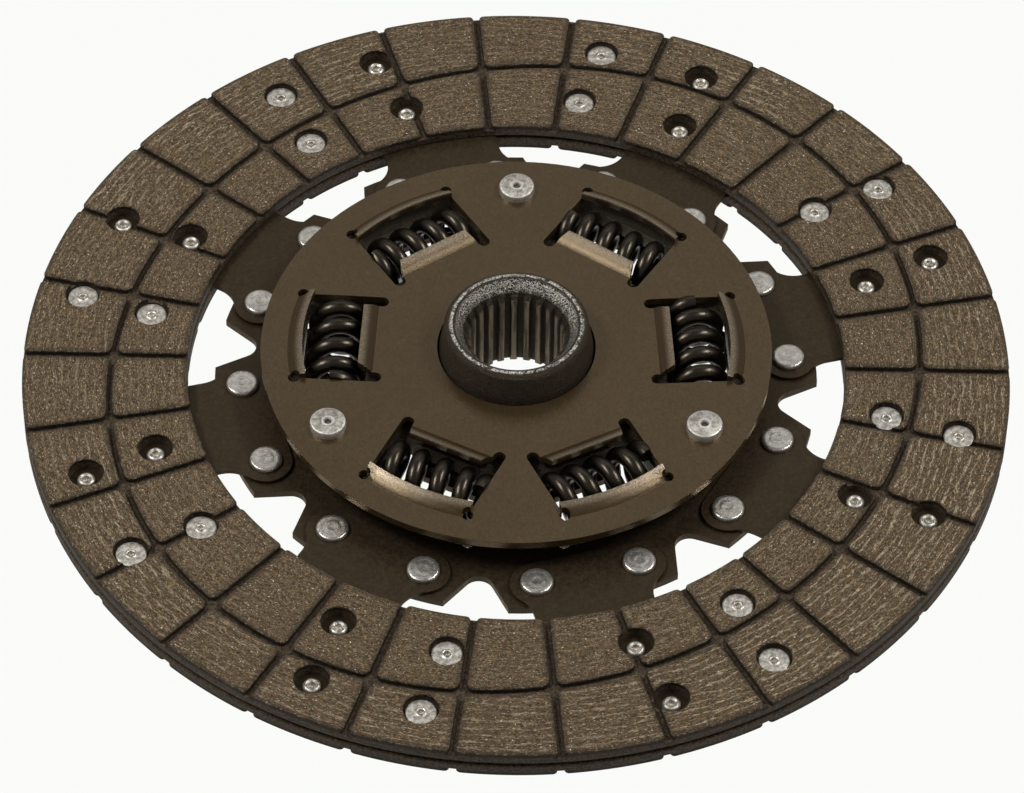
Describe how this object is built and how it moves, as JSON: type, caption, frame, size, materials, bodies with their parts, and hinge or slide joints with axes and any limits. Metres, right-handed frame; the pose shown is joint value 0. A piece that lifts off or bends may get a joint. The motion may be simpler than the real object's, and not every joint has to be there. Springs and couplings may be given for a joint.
{
  "type": "clutch disc",
  "caption": "Round clutch disc with grooved friction facings, cushion segments, a sprung torsion damper and a splined hub.",
  "frame": {"origin": "on the hub's axis, midway between the two friction faces", "axes": "+Z along the hub's axis, towards the gearbox and the hub's long side; +X and +Y lie in the plane of the facings"},
  "size_m": [0.24, 0.24, 0.0264],
  "materials": {
    "facing": "rough moulded fibre",
    "rivet_steel": "zinc plated",
    "spring_sheet": "satin phosphate",
    "plate_steel": "satin bronze brown",
    "spring_wire": "gloss black",
    "hub_steel": "rough phosphate",
    "washer": "matt"
  },
  "bodies": {
    "disc": {"facing_front": "facing", "facing_rear": "facing", "facing_rivets_front": "rivet_steel", "facing_rivets_rear": "rivet_steel", "cushion_segment_1": "spring_sheet", "cushion_segment_2": "spring_sheet", "cushion_segment_3": "spring_sheet", "cushion_segment_4": "spring_sheet", "cushion_segment_5": "spring_sheet", "cushion_segment_6": "spring_sheet", "cushion_segment_7": "spring_sheet", "cushion_segment_8": "spring_sheet", "segment_rivets": "rivet_steel", "carrier_plate": "spring_sheet", "retainer_plate": "plate_steel", "stop_pins": "rivet_steel", "friction_washer_rear": "washer", "friction_washer_front": "washer", "spring_washer": "plate_steel"},
    "hub": {"hub": "hub_steel"},
    "springs": {"damper_spring_1": "spring_wire", "damper_spring_2": "spring_wire", "damper_spring_3": "spring_wire", "damper_spring_4": "spring_wire", "damper_spring_5": "spring_wire", "damper_spring_6": "spring_wire"}
  },
  "joints": [
    {"name": "hub_turn", "type": "hinge", "parent": "disc", "child": "hub", "pos_m": [0, 0, 0], "axis": [0, 0, 1], "range_deg": [-8, 8], "stiffness_Nm_per_rad": 600, "deforming": ["damper_spring_1", "damper_spring_2", "damper_spring_3", "damper_spring_4", "damper_spring_5", "damper_spring_6"]},
    {"name": "spring_follow", "type": "hinge", "parent": "disc", "child": "springs", "pos_m": [0, 0, 0], "axis": [0, 0, 1], "range_deg": [-4, 4], "deforming": ["damper_spring_1", "damper_spring_2", "damper_spring_3", "damper_spring_4", "damper_spring_5", "damper_spring_6"]}
  ],
  "couplings": [
    {"joint": "spring_follow", "follows": "hub_turn", "ratio": 0.5}
  ]
}
